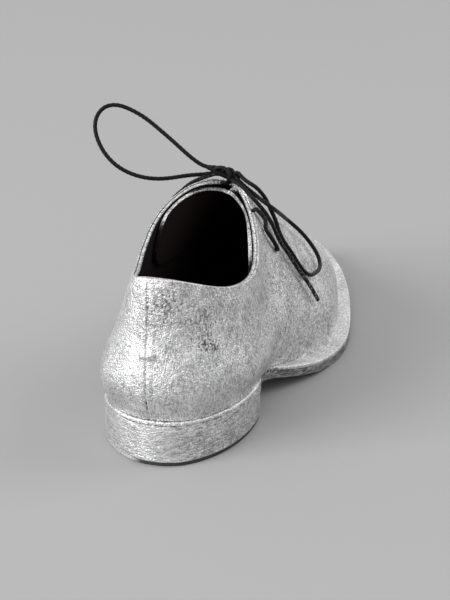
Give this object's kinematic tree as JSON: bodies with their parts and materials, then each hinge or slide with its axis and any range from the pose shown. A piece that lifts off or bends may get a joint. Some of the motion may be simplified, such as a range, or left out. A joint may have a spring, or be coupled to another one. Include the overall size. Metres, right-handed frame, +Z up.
{
  "type": "derby shoe",
  "caption": "Right plain derby shoe in silver-painted leather with open lacing, wide tongue, stitched welt, low stacked heel and a black cord lace tied in a bow",
  "frame": {"origin": "On the floor, at the middle of the box around the shoe without its lace", "axes": "+X to the outer (lateral) side of the right foot, +Y to the toe, +Z up; the shoe stands on its sole"},
  "size_m": [0.1262, 0.2884, 0.1377],
  "materials": {
    "heel_rubber": "matte black",
    "heel_silver": "silver paint, brushed, worn",
    "sole_silver": "silver paint, streaked, dark edge",
    "welt_silver": "silver paint, speckled",
    "insole_leather": "dark brown, smooth",
    "upper_silver": "silver paint, brushed, worn",
    "tongue_silver": "silver paint, satin",
    "lace_black": "black waxed cord"
  },
  "bodies": {
    "root": {"heel_top_piece": "heel_rubber", "heel_stack": "heel_silver", "outsole": "sole_silver", "welt": "welt_silver", "insole": "insole_leather", "upper": "upper_silver", "tongue": "tongue_silver", "lace_run_right": "lace_black", "lace_run_left": "lace_black", "lace_loop_left": "lace_black", "lace_loop_right": "lace_black", "lace_end_right": "lace_black", "lace_knot": "lace_black"}
  },
  "joints": []
}
